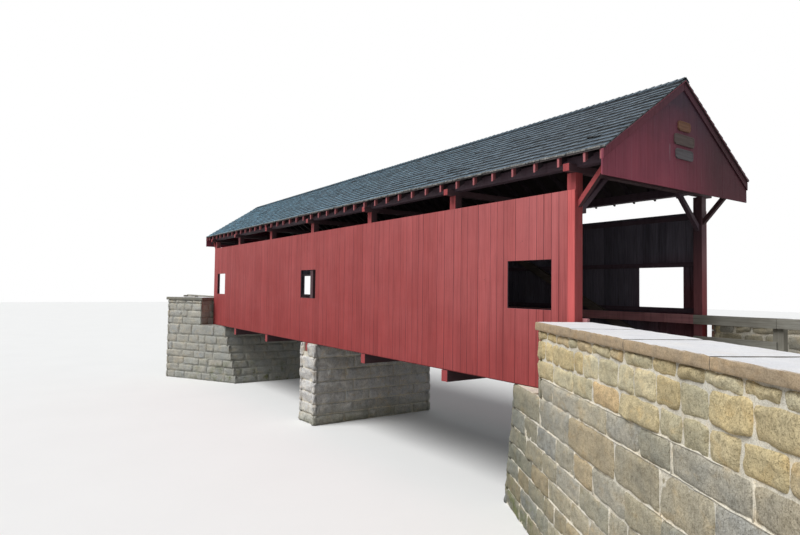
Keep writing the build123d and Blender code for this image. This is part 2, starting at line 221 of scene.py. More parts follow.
# Lime mortar in the joints, and the rough hearting that shows on top of the seats.
mortar, place = new_finish("lime_mortar", 0.95)
tint = mix(on_far_bank(place), (0.78, 0.75, 0.66), (0.44, 0.45, 0.42))
stone_surface(place, tint, 0.4, 0.35, 0.1, 0.008)

# Sandstone rubble: buff and yellow in the upper courses, grey with some blue in the lower ones.
rubble, place = new_finish("sandstone_rubble", 0.9)
tone = own_value("tone")
low_tints = ramp(tone, [(0.0, (0.47, 0.43, 0.34)), (0.2, (0.51, 0.49, 0.41)), (0.4, (0.42, 0.44, 0.45)),
                        (0.6, (0.54, 0.49, 0.38)), (0.8, (0.41, 0.41, 0.35)), (1.0, (0.50, 0.43, 0.30))])
high_tints = ramp(tone, [(0.0, (0.76, 0.64, 0.38)), (0.25, (0.62, 0.52, 0.31)), (0.5, (0.80, 0.73, 0.51)),
                         (0.75, (0.54, 0.50, 0.35)), (1.0, (0.76, 0.57, 0.33))])
tint = mix(own_value("warmth"), low_tints, high_tints)
x, y, z = split(place)
damp_side = times(below(unsigned(x), 9.6, 12.6), below(z, 2.4, 3.0))
tint = multiply(damp_side, tint, (0.58, 0.61, 0.61))
# Painted shade: the head of the far left wing, beside the red siding, is made darker and greener to cancel the red
# light bounced onto it.
head = times(spread(x, 10.70, 10.76), spread(z, 2.66, 2.72), below(y, 3.03, 3.06))
tint = multiply(head, tint, (0.5, 0.85, 0.85))
tint = mix(spread(x, -1.0, 1.0, 0.0, 0.65), tint, (0.55, 0.57, 0.56))
moss = times(damp_side, below(z, 0.3, 1.3), spread(cloud(place, 2.4, 5.0, 0.65), 0.50, 0.62))
tint = mix(times(moss, 0.8), tint, (0.17, 0.20, 0.08))
stone_surface(place, tint, 0.55, 0.3, 0.35, 0.028)


def place_object(name, data):
    """An object put in the scene."""
    made = bpy.data.objects.new(name, data)
    bpy.context.scene.collection.objects.link(made)
    return made


def to_object(shape, name, materials):
    """A bmesh turned into an object with its materials."""
    mesh = bpy.data.meshes.new(name)
    shape.to_mesh(mesh)
    shape.free()
    for material in materials:
        mesh.materials.append(material)
    return place_object(name, mesh)


def finish_mesh(shape, name, materials, replaced=(), smooth=False):
    """A bmesh turned into a named piece that stands at the origin and rides with the bridge."""
    bmesh.ops.recalc_face_normals(shape, faces=shape.faces)
    piece = to_object(shape, name, materials)
    piece.data.shade_smooth() if smooth else piece.data.shade_flat()
    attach(piece, "root")
    for node in replaced:
        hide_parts(node)


def mark_faces(verts, layer, value):
    """A number written on all faces of a stone, board or shingle that was just made."""
    for face in {face for vertex in verts for face in vertex.link_faces}:
        face[layer] = value


def lay_stone(shape, corner, along, rise, outward, span, levels, look, ends, rng):
    """One rock-faced stone: a grid split into facets, rounded back to its joints and roughened all over."""
    (left, right), (low, high) = span, levels
    columns = max(4, min(24, int((right - left) / look["mesh"]) + 3))
    lines = max(4, min(12, int((high - low) / look["mesh"]) + 3))
    grid = bmesh.ops.create_grid(shape, x_segments=columns, y_segments=lines, size=0.5)
    bulge = look["proud"] * rng.uniform(0.7, 1.2)
    facets = [(rng.uniform(-0.5, 0.5), rng.uniform(-0.6, 0.6), rng.uniform(0.85, 1.35)) for _ in range(4)]
    seed = Vector((rng.uniform(0, 90), rng.uniform(0, 90), rng.uniform(0, 90)))
    trim = [0.0 if end else look["joint"] / 2 * rng.uniform(0.7, 1.3) for end in ends]
    beds = [look["joint"] / 2 * rng.uniform(0.6, 1.5) for _ in range(2)]
    width, height = right - left - trim[0] - trim[1], high - low - beds[0] - beds[1]
    for vertex in grid["verts"]:
        u, v = (math.copysign(0.5 * (1 - (1 - 2 * abs(part)) ** 1.35), part) if abs(part) > 0 else 0.0
                for part in (vertex.co.x, vertex.co.y))
        reach = [(0.5 + u) * width, (0.5 - u) * width, (0.5 + v) * height, (0.5 - v) * height]
        fall = 1.0
        for side, distance in enumerate(reach):
            if side < 2 and ends[side]:
                continue
            near = max(0.0, 1 - distance / look["round"])
            fall *= math.sqrt(max(0.0, 1 - near * near))
        free = 0.0 if (ends[0] and u < 0) or (ends[1] and u > 0) else 1.0
        spot = corner + along * (left + (0.5 + u) * width) + rise * (low + (0.5 + v) * height)
        sway = look["sway"] * free
        x = left + trim[0] + (0.5 + u * (1 - look["pinch"] * (2 * abs(v)) ** 5 * free)) * width
        z = low + beds[0] + (0.5 + v * (1 - look["pinch"] * (2 * abs(u)) ** 5 * free)) * height
        x += sway * noise.noise(spot * 5.0 + seed)
        z += sway * noise.noise(spot * 5.0 - seed)
        spot = corner + along * x + rise * z
        rough = noise.noise(spot * look["lumps"] + seed) + 0.6 * noise.noise(spot * look["lumps"] * 2.6 + seed)
        rough += 0.4 * noise.noise(spot * look["lumps"] * 6.0 + seed)
        level = bulge * min(a * 2 * u + b * 2 * v + c for a, b, c in facets) + look["roughness"] * rough
        vertex.co = spot + outward * (look["dip"] + (level - look["dip"]) * fall)
    return grid["verts"]


ribbon_step, ribbon_half, ribbon_sway = 0.08, 0.0095, 0.018
ribbon_outline = ((-1.3, -0.02), (-0.6, 0.013), (0.6, 0.013), (1.3, -0.02))


def lay_ribbon(shape, start, run, across, outward, length, rng):
    """Raised ribbon of pale pointing, struck by trowel along a joint."""
    count = max(2, int(length / ribbon_step))
    seed = Vector((rng.uniform(0, 90), 0, 0))
    rings = []
    for step in range(count + 1):
        spot = start + run * (length * step / count)
        sway = ribbon_sway * noise.noise(spot * 4 + seed)
        half = ribbon_half * (1 + 0.9 * noise.noise(spot * 7 + seed))
        rings.append([shape.verts.new(spot + across * (sway + side * half) + outward * level)
                      for side, level in ribbon_outline])
    faces = [shape.faces.new(rings[0]), shape.faces.new(rings[-1])]
    for first, second in zip(rings, rings[1:]):
        for place in range(4):
            near = (place + 1) % 4
            faces.append(shape.faces.new((first[place], first[near], second[near], second[place])))
    for face in faces:
        face.material_index = 1


def push_out(shape, grown, vec):
    """The new corners of an extrusion moved to where they belong."""
    bmesh.ops.translate(shape, verts=[item for item in grown if isinstance(item, bmesh.types.BMVert)], vec=vec)


def lay_face(shape, corner, along, rise, outward, reach, rows, corners, rng, warm_from, joints=()):
    """All stones of one face of a wall, course by course, each let a hand's depth into the core."""
    tones = shape.faces.layers.float.get("tone") or shape.faces.layers.float.new("tone")
    warmths = shape.faces.layers.float.get("warmth") or shape.faces.layers.float.new("warmth")
    laid = []
    for number, (low, high, look) in enumerate(rows):
        left, right = reach((low + high) / 2)
        left -= look["proud"] * 0.9 if corners[0] else 0.0
        right += look["proud"] * 0.9 if corners[1] else 0.0
        marks = [left] + list(joints[number] if number < len(joints) else ())
        while number >= len(joints):
            width = rng.uniform(*look["widths"])
            if right - marks[-1] - width < look["widths"][0] * 0.7:
                break
            marks.append(marks[-1] + width)
        marks.append(right)
        for start, stop in zip(marks, marks[1:]):
            ends = (corners[0] and start == left, corners[1] and stop == right)
            verts = lay_stone(shape, corner, along, rise, outward, (start, stop), (low, high), look, ends, rng)
            tone, warm = rng.random(), 1.0 if low > warm_from - rng.uniform(0, 0.12) else rng.uniform(0.0, 0.35)
            mark_faces(verts, tones, tone)
            mark_faces(verts, warmths, warm)
            laid += verts
            if look["ribbon"] and start != left and rng.random() < look["ribbon"]:
                lay_ribbon(shape, corner + along * start + rise * low, rise, along, outward, high - low, rng)
        start = left
        while look["ribbon"] and right - start > 0.2:
            stop = min(right, start + rng.uniform(0.4, 1.6))
            if rng.random() < look["ribbon"]:
                lay_ribbon(shape, corner + along * start + rise * high, along, rise, outward, stop - start, rng)
            start = stop
    rims = [edge for edge in {edge for vertex in laid for edge in vertex.link_edges} if edge.is_boundary]
    backs = bmesh.ops.extrude_edge_only(shape, edges=rims)["geom"]
    push_out(shape, backs, outward * -look["depth"])
    open_edges = [item for item in backs if isinstance(item, bmesh.types.BMEdge) and item.is_boundary]
    bmesh.ops.holes_fill(shape, edges=open_edges, sides=0)


# Courses of the walls from the ground up: bed joint below, bed joint above, lengths of the stones.
wall_table = ((0.0, 0.35, 0.45, 1.3), (0.35, 0.70, 0.5, 1.2), (0.70, 1.05, 0.4, 1.2), (1.05, 1.40, 0.5, 1.3),
              (1.40, 1.77, 0.45, 1.1), (1.77, 2.17, 0.4, 1.0), (2.17, 2.68, 0.45, 1.6), (2.68, 3.03, 0.5, 1.3),
              (3.03, 3.35, 0.4, 1.0), (3.35, 3.70, 0.3, 0.65), (3.70, 3.875, 0.3, 0.75))
seat_level, road_level = 2.68, 2.995
corner_x, foot_x, batter, wall_thickness = 10.8437, 8.85, 0.70, 0.9
wall_corner, inner_corner = Vector((corner_x, 3.0167, 0)), Vector((11.2937, 2.2373, 0))
backwall_x, backwall_half = 11.585, 2.405
flare = math.radians(30)
wing_run = Vector((math.cos(flare), math.sin(flare), 0))
across_road, up = Vector((0, 1, 0)), Vector((0, 0, 1))
corners_both = (True, True)
fine_mesh, plain_mesh, back_mesh, front_mesh, hidden_mesh = 0.04, 0.08, 0.1, 0.09, 0.12
squared_look = dict(joint=0.016, proud=0.036, round=0.060, pinch=0.026, dip=-0.008, roughness=0.022,
                    lumps=7.0, depth=0.08, sway=0.024, ribbon=0.65)
rounded_look = dict(squared_look, joint=0.014, proud=0.040, round=0.075, pinch=0.045, dip=-0.012, roughness=0.020,
                    sway=0.034, ribbon=0.0)

# Above these levels there are no more courses, and the stones turn yellow, as they do on the near bank only.
wall_top, never_warm = 4.0, 9.0
warm_level = {"near": 3.0, "far": never_warm}


def wall_rows(top, mesh):
    """Courses of a wall up to a level: squared stones below, rounded ones in the three upper courses."""
    return [(low, high, dict(rounded_look if low > 3.0 else squared_look, widths=(short, long), mesh=mesh))
            for low, high, short, long in wall_table if high < top + 0.01]


def dress_bank(end, side, sign_x, sign_y, wing_length, mesh):
    """The stones on one wing wall and on the flank of the abutment beside it."""
    rng = random.Random(41 + 7 * sign_x + 3 * sign_y)
    mirror = Vector((sign_x, sign_y, 1))
    shape = bmesh.new()
    along = wing_run * mirror
    outward = Vector((-math.sin(flare), math.cos(flare), 0)) * mirror
    tip = wall_corner + wing_run * wing_length
    warm_from = warm_level[end]
    head = [row for row in wall_rows(wall_top, plain_mesh) if row[0] > seat_level - 0.01]

    def front(z):
        """How far the battered flank of the abutment runs on past the wing wall."""
        return -((corner_x - foot_x) - batter * z / seat_level) / math.cos(flare) if z < seat_level else 0.0

    for corner, run, out, reach, rows, yellow_from in (
            (wall_corner, along, outward, lambda z: (front(z), wing_length), wall_rows(wall_top, mesh), warm_from),
            (inner_corner, along, -outward, lambda z: (0.0, wing_length), wall_rows(wall_top, back_mesh), never_warm),
            (tip, -outward, along, lambda z: (0.0, wall_thickness), wall_rows(wall_top, back_mesh), warm_from),
            (wall_corner, -outward, -along, lambda z: (0.0, wall_thickness), head, warm_from)):
        lay_face(shape, corner * mirror, run, up, out, reach, rows, corners_both, rng, yellow_from)
    finish_mesh(shape, f"wing_wall_stones_{end}_{side}", [rubble, mortar], smooth=True)


sides, banks = (("left", 1), ("right", -1)), (("near", -1), ("far", 1))
wing_lengths = {"near": 6.58, "far": 2.16}
front_half, front_spread, front_normal = 1.866, 0.404, Vector((-0.968, 0, 0.253))
for end, sign_x in banks:
    for side, sign_y in sides:
        mesh = fine_mesh if (end, side) == ("near", "left") else plain_mesh
        dress_bank(end, side, sign_x, sign_y, wing_lengths[end], mesh)
    rng = random.Random(90 + sign_x)
    mirror = Vector((sign_x, 1, 1))
    shape = bmesh.new()
    lean = Vector((batter / seat_level, 0, 1)) * mirror
    lay_face(shape, Vector((foot_x, 0, 0)) * mirror, across_road, lean, front_normal * mirror,
             lambda z: (-front_half - front_spread * z / seat_level, front_half + front_spread * z / seat_level),
             wall_rows(seat_level, front_mesh), corners_both, rng, never_warm)
    back_rows = wall_rows(seat_level, hidden_mesh)
    back_rows.append((seat_level, road_level, back_rows[-1][2]))
    lay_face(shape, Vector((backwall_x, 0, 0)) * mirror, across_road, up, Vector((sign_x, 0, 0)),
             lambda z: (-backwall_half, backwall_half), back_rows, (False, False), rng, never_warm)
    finish_mesh(shape, f"abutment_stones_{end}", [rubble, mortar], smooth=True)


def set_finish(material, names, arris=0.0):
    """A finish put on solids that stay as they are, with their sharp arrises taken off as a plane would."""
    for name in names:
        nodes[name].data.materials.clear()
        nodes[name].data.materials.append(material)
        if arris:
            weld = nodes[name].modifiers.new("merge", "WELD")
            weld.merge_threshold = 0.0001
            soft = nodes[name].modifiers.new("arris", "BEVEL")
            soft.width, soft.segments, soft.profile = arris, 2, 0.5
            soft.limit_method, soft.angle_limit = "ANGLE", math.radians(40)


def pair(name, ends=("left", "right")):
    """The names of a piece and its fellow on the other side or at the other end."""
    return [f"{name}_{end}" for end in ends]


both_ends = ("near", "far")
set_finish(mortar, pair("abutment", both_ends) + pair("wing_wall_near") + pair("wing_wall_far"))

# Wing wall caps.
# Heavy sawn slabs with pitched edges laid dry on the walls, eight millimetres apart. The tops are worn smooth and
# bleached, and the edges are left rough and brown.


def facing():
    """The way that the surface looks, in three parts."""
    return split(add_node("NewGeometry").outputs["Normal"])


cap_stone, place = new_finish("cap_stone", 0.85)
upward = spread(facing()["Z"], 0.4, 0.6)
edge_tint = mix(cloud(place, (7.0, 7.0, 16.0)), (0.56, 0.43, 0.28), (0.37, 0.30, 0.22))
top_tint = mix(cloud(place, 2.2, 5.0), (0.74, 0.74, 0.76), (0.86, 0.87, 0.90))
edge_tint = multiply(on_far_bank(place), edge_tint, (0.55, 0.70, 0.90))
tint = mix(upward, edge_tint, top_tint)
face = use_group(stone_face, {"Position": place, "Color": tint, "Pits": 0.15, "Stain": 0.15, "Tooling": 0.1})
shade = mix(upward, face["Color"], mix(0.35, tint, face["Color"]))
set_surface(shade, face["Height"], 0.010)

joint_dirt, place = new_finish("dirt_in_joints", 0.95)
soil = cloud(place, 20.0)
set_surface(mix(soil, (0.12, 0.11, 0.10), (0.27, 0.25, 0.22)), soil, 0.002)

cap_joint, cap_width, cap_thickness, cap_middle, cap_fall = 0.008, 1.03, 0.15, 3.95, 0.006


def lay_cap(shape, middle, along, length, met, drop, rng):
    """One slab: a cube cut fine, with its edges and long faces broken back by the pitching tool."""
    turn = Matrix((along, Vector((-along.y, along.x, 0)), up)).transposed()
    slab = bmesh.new()
    bmesh.ops.create_cube(slab, size=1.0)
    bmesh.ops.subdivide_edges(slab, edges=slab.edges[:], cuts=17, use_grid_fill=True)
    seed = Vector((rng.uniform(0, 50), rng.uniform(0, 50), 0))
    for face in slab.faces:
        side = face.calc_center_median().x
        face.material_index = 1 if (side < -0.499 and met[0]) or (side > 0.499 and met[1]) else 0
    for vertex in slab.verts:
        x, y, z = vertex.co
        local = Vector((x * length, y * cap_width, z * cap_thickness))
        rough = noise.noise(local * 11 + seed) + 0.5 * noise.noise(local * 30 + seed)
        shift = 0.010 * (1 - (2 * abs(z)) ** 4) - 0.007 + 0.005 * rough
        if abs(abs(y) - 0.5) < 1e-4:
            local.y += shift * math.copysign(1, y)
        elif abs(abs(x) - 0.5) < 1e-4:
            local.x += min(shift, 0.0) * math.copysign(1, x)
        if abs(abs(z) - 0.5) < 1e-4:
            rim = (0.5 - abs(x)) * length
            local.z += 0.0025 * rough - 0.012 * max(0.0, 1 - rim / 0.05) if z > 0 else 0.0
        local.z += drop * (z + 0.5)
        vertex.co = middle + turn @ local
    cut_slab = bpy.data.meshes.new("slab")
    slab.to_mesh(cut_slab)
    slab.free()
    shape.from_mesh(cut_slab)
    bpy.data.meshes.remove(cut_slab)


cap_counts, slab_lengths = {"near": 4, "far": 2}, {"near": 1.705, "far": 1.20}
cap_start = Vector(((10.7112 + 11.2262) / 2, (3.0150 + 2.1230) / 2, 0))
for end, sign_x in banks:
    for side, sign_y in sides:
        count, slab_length, mirror = cap_counts[end], slab_lengths[end], Vector((sign_x, sign_y, 1))
        rng = random.Random(7 + count + sign_y)
        shape = bmesh.new()
        along, start = wing_run * mirror, cap_start * mirror
        for index in range(count):
            middle = start + along * (slab_length * (index + 0.5) - cap_joint / 2) + up * cap_middle
            met = (index > 0, index < count - 1)
            lay_cap(shape, middle, along, slab_length - cap_joint, met, -cap_fall * index, rng)
        finish_mesh(shape, f"cap_slabs_{end}_{side}", [cap_stone, joint_dirt], [f"wing_cap_{end}_{side}"])

# Pier.
# Rock-faced ashlar in seven courses, broken joints, with thin pale pointing. It stands in the creek under the middle
# of the bridge and has a pocket on top for the cross beam.
ashlar, place = new_finish("rock_faced_ashlar", 0.92)
tone = own_value("tone")
tint = ramp(tone, [(0.0, (0.74, 0.74, 0.73)), (0.3, (0.86, 0.86, 0.87)), (0.6, (0.80, 0.795, 0.79)),
                   (0.8, (0.68, 0.68, 0.68)), (1.0, (0.90, 0.90, 0.90))])
algae = times(below(split(place)["Z"], 0.1, 0.75), cloud(place, (2.5, 2.5, 4.0)))
tint = mix(algae, tint, (0.34, 0.35, 0.22))
stone_surface(place, tint, 0.4, 0.5, 0.6, 0.04)
pier_look = dict(squared_look, mesh=0.06, proud=0.060, round=0.085, pinch=0.012, dip=-0.006, roughness=0.038,
                 widths=(0.45, 0.75), depth=0.09, sway=0.004, ribbon=0.0)
pier_levels = (0.0, 0.33, 0.69, 1.05, 1.43, 1.83, 2.24, 2.68)
pier_rows = [(low, high, pier_look) for low, high in zip(pier_levels, pier_levels[1:])]
pier_joints = ((-1.65, -0.78, 0.25, 1.25), (-1.0, -0.05, 0.9), (-1.65, -0.55, 0.25, 1.2), (-1.05, -0.45, 0.9),
               (-1.6, -0.78, 0.2, 1.2), (-1.0, -0.1, 0.85), (-1.6, -0.7, 0.3, 1.25))
half_thick, half_long, taper = 0.52, 2.38, 0.02


def half_at(z):
    """Half the thickness of the pier at a level."""
    return half_thick - taper * z / seat_level


shape = bmesh.new()
rng = random.Random(12)
for sign in (1, -1):
    lay_face(shape, Vector((half_thick * sign, 0, 0)), across_road, Vector((-taper / seat_level * sign, 0, 1)),
             Vector((sign, 0, 0)), lambda z: (-half_long, half_long), pier_rows, corners_both, rng, never_warm,
             pier_joints)
    end_face = (Vector((0, half_long * sign, 0)), Vector((1, 0, 0)), up, Vector((0, sign, 0)))
    lay_face(shape, *end_face, lambda z: (-half_at(z), half_at(z)), pier_rows[:-1], corners_both, rng, never_warm,
             ((),) * 6)
    for left, right in ((-0.5, 0.07), (0.35, 0.5)):
        lay_face(shape, *end_face, lambda z: (left, right), pier_rows[-1:], (left < 0, right > 0.4), rng, never_warm)
finish_mesh(shape, "pier_ashlar", [ashlar], smooth=True)
set_finish(mortar, ["pier"])

# Floor beams, bottom chords and stringers.
# Sawn timbers: five cross beams hung below the trusses, whose ends show under the siding, the chords on them, and
# seven stringers that carry the planks. Old red paint covers the outer ones, and the rest is bare.

# Wood seen close: long fibres along X of the position that comes in, with soft clouds and fine checks.
wood_grain, given, result = new_group(
    "wood_grain",
    [("Position", "Vector", None), ("Color", "Color", (0.2, 0.15, 0.1, 1)), ("Contrast", "Float", 0.5)],
    [("Color", "Color"), ("Height", "Float")])
position = given["Position"]
bend = cloud(position, (0.7, 3.0, 3.0), 2.0)
fibre = cloud(position, (1.6, 34.0, 34.0), 4.0, 0.6, 0.4)
fine = cloud(position, (5.0, 160.0, 160.0), 3.0, 0.6)
checks = spread(cloud(position, (0.9, 60.0, 60.0), 2.0, 0.5, 0.2), 0.64, 0.70)
mask = times(spread(fibre, 0.35, 0.7), given["Contrast"])
tint = multiply(mask, given["Color"], (0.55, 0.52, 0.50))
tint = multiply(spread(bend, 0.4, 0.7, 0.0, 0.35), tint, (1.3, 1.25, 1.2))
tint = multiply(times(checks, given["Contrast"]), tint, (0.35, 0.33, 0.32))
relief = minus(plus(times(fibre, 0.6), times(fine, 0.3)), times(checks, 0.6))
Bench.tree.links.new(tint, result["Color"])
Bench.tree.links.new(relief, result["Height"])

# What rain and sun do to a painted or bare outside face: drips, bleached clouds and small dark specks.
rain_marks, given, result = new_group(
    "rain_marks", [("Position", "Vector", None)], [("Drips", "Float"), ("Clouds", "Float"), ("Specks", "Float")])
position = given["Position"]
drips = spread(cloud(position, (13.0, 13.0, 0.55), 5.0, 0.6), 0.48, 0.72)
clouds = spread(cloud(position, (0.55, 0.55, 0.9), 4.0, 0.6), 0.38, 0.66)
spots = add_node("TexVoronoi", {"Vector": position, "Scale": 7.0, "Randomness": 1.0})
specks = times(below(spots.outputs["Distance"], 0.05, 0.10), spread(cloud(position, 3.0, 2.0), 0.56, 0.62))
for socket, name in ((drips, "Drips"), (clouds, "Clouds"), (specks, "Specks")):
    Bench.tree.links.new(socket, result[name])


def grain_place(place, axis):
    """The position turned so that its X runs along the grain of the timber."""
    parts = split(place)
    order = {"x": ("X", "Y", "Z"), "y": ("Y", "X", "Z"), "z": ("Z", "X", "Y")}[axis]
    return add_node("CombineXYZ", {number: parts[name] for number, name in enumerate(order)}).outputs[0]


def wood_surface(place, axis, tint, contrast, depth):
    """Wood with its grain along an axis, joined to the shader."""
    grain = use_group(wood_grain, {"Position": grain_place(place, axis), "Color": tint, "Contrast": contrast})
    set_surface(grain["Color"], grain["Height"], depth)


def larger(first, *others):
    """The largest of the numbers: masks laid side by side."""
    return work_out("MAXIMUM", first, others)


def face_out(place, limits):
    """Mask of the outer faces: those that look away from the bridge beyond a distance along it or to its side. With
    a limit in Z, a side face counts above that level or at the very ends only."""
    spot, normal = split(place), facing()
    masks = []
    for part, limit in ((part, limits[part]) for part in "XY" if part in limits):
        sign = add_node("Math", {0: spot[part]}, operation="SIGN").outputs[0]
        masks.append(times(spread(times(sign, normal[part]), 0.3, 0.6),
                           spread(unsigned(spot[part]), limit - 0.02, limit)))
    if "Z" in limits:
        masks[-1] = times(masks[-1], larger(spread(spot["Z"], limits["Z"] - 0.05, limits["Z"]),
                                            spread(unsigned(spot["X"]), 10.80, 10.84)))
    return larger(*masks)


def painted_timber(name, axis, paint, wear, limits, inside=(0.10, 0.056, 0.066), lee_shade=0.0, tail=None):
    """Red barn paint on the outer faces of sawn timber, and on the others a dark colour that is old paint deepened by
    painted shade. The number after the inner colour sets a painted shade on the right-hand posts that grows towards
    their tops; when it is given, the inner faces away from the portals are darker as well. The tail is how far out the
    paint starts to show on rafters, on the left side only."""
    material, place = new_finish(name, 0.6)
    marks = use_group(rain_marks, {"Position": place})
    shade = multiply(times(marks["Clouds"], 0.5), paint, (1.3, 1.45, 1.45))
    shade = multiply(times(marks["Drips"], 0.45), shade, (0.5, 0.42, 0.42))
    painted = face_out(place, limits) if limits else 1.0
    x, y, z = split(place)
    # Painted shade: the side faces of the rafter tails take the paint on the left side only, and on the right they keep
    # the dark colour.
    if tail:
        shown = spread(unsigned(y), tail, tail + 0.02, 0.0, 0.6)
        painted = larger(painted, times(shown, spread(y, 0.0, 0.1)))
    # Painted shade: inner faces away from the portals are darker than those at the portals.
    if lee_shade:
        inside = mix(spread(unsigned(x), 10.6, 10.7), (0.09, 0.045, 0.052), inside)
    shade = mix(painted, inside, shade)
    # Painted shade: the right-hand posts darken towards their tops.
    if lee_shade:
        shade = mix(times(below(y, -2.0, -1.6), spread(z, 4.3, 5.9), lee_shade), shade, (0.10, 0.055, 0.068))
    grain = use_group(wood_grain, {"Position": grain_place(place, axis), "Color": shade, "Contrast": 0.45})
    worn = times(spread(cloud(place, (6.0, 6.0, 2.0), 6.0, 0.7), 0.64, 0.70), wear, painted)
    shade = mix(worn, grain["Color"], (0.25, 0.17, 0.15))
    set_surface(shade, grain["Height"], 0.003, spread(marks["Clouds"], 0.0, 1.0, 0.5, 0.75))
    return material


def bare_timber(name, axis, wood, contrast):
    """Unpainted timber of one colour, darker in soft clouds."""
    material, place = new_finish(name, 0.85)
    shade = mix(spread(cloud(place, 0.9), 0.35, 0.65), wood, tuple(part * 0.6 for part in wood))
    wood_surface(place, axis, shade, contrast, 0.004)
    return material


frame_red = (0.36, 0.062, 0.066)
red_lengthwise = painted_timber("red_timber_lengthwise", "x", frame_red, 0.5, {"X": 11.04, "Y": 2.30})
red_crosswise = painted_timber("red_timber_crosswise", "y", frame_red, 0.5, {"Y": 2.30})
bare_lengthwise = bare_timber("bare_timber_lengthwise", "x", (0.055, 0.042, 0.032), 0.8)
wide_arris = 0.006
set_finish(red_crosswise, ["floor_beams"], wide_arris)
set_finish(red_lengthwise, pair("bottom_chord"), wide_arris)
set_finish(bare_lengthwise, ["stringers"], wide_arris)

# Deck.
# Thick oak planks laid across the stringers and spiked down, with drainage gaps between them. Wheels have polished
# two tracks along it.
deck_wood, place = new_finish("deck_planks_wood", 0.85)
tone = own_value("tone")
tint = ramp(tone, [(0.0, (0.13, 0.10, 0.075)), (0.5, (0.19, 0.155, 0.12)), (1.0, (0.24, 0.205, 0.165))])
off_track = unsigned(minus(unsigned(split(place)["Y"]), 0.78))
tint = multiply(spread(off_track, 0.12, 0.42, 0.4, 0.0), tint, (1.5, 1.45, 1.4))
wood_surface(place, "y", tint, 0.8, 0.005)


def new_boards():
    """An empty bmesh whose faces carry a number for their colour."""
    shape = bmesh.new()
    return shape, shape.faces.layers.float.new("tone")


shape, tones = new_boards()
rng = random.Random(5)
house_end, plank_length, plank_foot, plank_thickness, plank_gap = 11.05, 4.196, 2.93, 0.075, 0.007
plank_start = -house_end
while house_end - plank_start > 0.02:
    width = min(rng.uniform(0.22, 0.28), house_end - plank_start)
    if house_end - plank_start - width < 0.12:
        width = house_end - plank_start
    thick = plank_thickness - rng.uniform(0.0, 0.003)
    size = Matrix.Diagonal((width - plank_gap, plank_length - rng.uniform(0.0, 0.02), thick, 1))
    spot = Matrix.Translation((plank_start + width / 2, rng.uniform(-0.004, 0.004), plank_foot + thick / 2))
    plank = bmesh.ops.create_cube(shape, size=1.0, matrix=spot @ size)
    mark_faces(plank["verts"], tones, rng.random())
    plank_start += width
bmesh.ops.bevel(shape, geom=shape.edges[:], offset=0.004, segments=1, affect="EDGES", profile=0.5, material=-1)
finish_mesh(shape, "deck_planks", [deck_wood], ["deck"])

# Trusses.
# Queenpost trusses of sawn timber: posts on the chord, braces let into the end posts, and a straining beam between
# the tops of the middle ones. Posts are painted, braces and straining beams are bare.
red_upright = painted_timber("red_timber_upright", "z", frame_red, 0.4, {"X": 11.04, "Y": 2.20, "Z": 6.45},
                             (0.36, 0.13, 0.145), 0.92)
brace_wood = bare_timber("brace_timber", "x", (0.20, 0.17, 0.14), 0.8)
set_finish(red_upright, pair("posts"), wide_arris)
set_finish(brace_wood, pair("braces") + pair("straining_beam"), wide_arris)

# Head of the frame.
# Tie beams cogged over the posts, top plates on them, knee braces across the road, and the braces and girts that hold
# the hoods out in front of the portals. Tie beams and hood braces are red; the plates, girts and knee braces, and the
# inner faces of the hood braces, are dark old paint deepened by painted shade.
hood_brace_red = painted_timber("red_hood_braces", "x", frame_red, 0.4, {"Y": 2.05}, (0.075, 0.035, 0.04))
# Dark old red paint, deepened by painted shade.
shaded_lengthwise = painted_timber("shaded_timber_lengthwise", "x", (0.105, 0.068, 0.088), 0.2, None)
shaded_crosswise = painted_timber("shaded_timber_crosswise", "y", (0.080, 0.060, 0.072), 0.2, None)
set_finish(red_crosswise, ["tie_beams"], wide_arris)
set_finish(shaded_crosswise, ["gable_girts"], wide_arris)
set_finish(shaded_lengthwise, pair("top_plate") + ["knee_braces"], wide_arris)
set_finish(hood_brace_red, ["hood_braces"], wide_arris)

# Rafters and roof boards.
# Pairs of two-inch rafters notched over the plates, with their tails showing red under the eaves, and open-jointed
# boards on them that the shingles are nailed to.
rafter_red = painted_timber("red_rafters", "y", (0.42, 0.13, 0.14), 0.4, {"Y": 2.36}, (0.055, 0.042, 0.05), tail=2.46)
rake_red = painted_timber("roof_board_timber", "x", (0.22, 0.052, 0.078), 0.2, {"X": 11.7}, (0.055, 0.045, 0.045))
narrow_arris = 0.003
set_finish(rafter_red, pair("rafters"), narrow_arris)
set_finish(rake_red, pair("roof_boards"))

# Shingle roof.
# Split wooden shingles in courses twenty centimetres to the weather, nailed with a gap between neighbours and
# breaking joint over the course below. A row of lapped shingles covers the ridge. Old ones have silvered to blue grey.
shingle_wood, place = new_finish("weathered_shingles", 0.8)
tone = add_node("Math", {0: own_value("tone")}, operation="FRACT").outputs[0]
tint = ramp(tone, [(0.0, (0.052, 0.066, 0.080)), (0.35, (0.082, 0.103, 0.124)), (0.7, (0.115, 0.140, 0.166)),
                   (0.92, (0.15, 0.178, 0.205)), (1.0, (0.19, 0.215, 0.235))])
# Painted light: the roof turns lighter and bluer towards the far end, standing in for haze.
far_along = spread(split(place)["X"], -10.0, 9.0)
tint = mix(far_along, multiply(1.0, tint, (0.95, 1.07, 1.18)), multiply(1.0, tint, (1.44, 2.62, 3.1)))
# Painted light: the end faces of the shingles are coloured paler, so they don't read as a dark line along the barge.
ends = spread(unsigned(facing()["X"]), 0.5, 0.8)
tint = mix(ends, tint, (0.20, 0.235, 0.25))
roof_slope = 8 / 12
pitch = math.atan(roof_slope)
eave_y, roof_end, exposure = 2.574, 11.866, 0.195
course_run = exposure * math.cos(pitch)
course = times(minus(eave_y, unsigned(split(place)["Y"])), 1 / course_run)
up_course = add_node("Math", {0: course}, operation="FRACT").outputs[0]
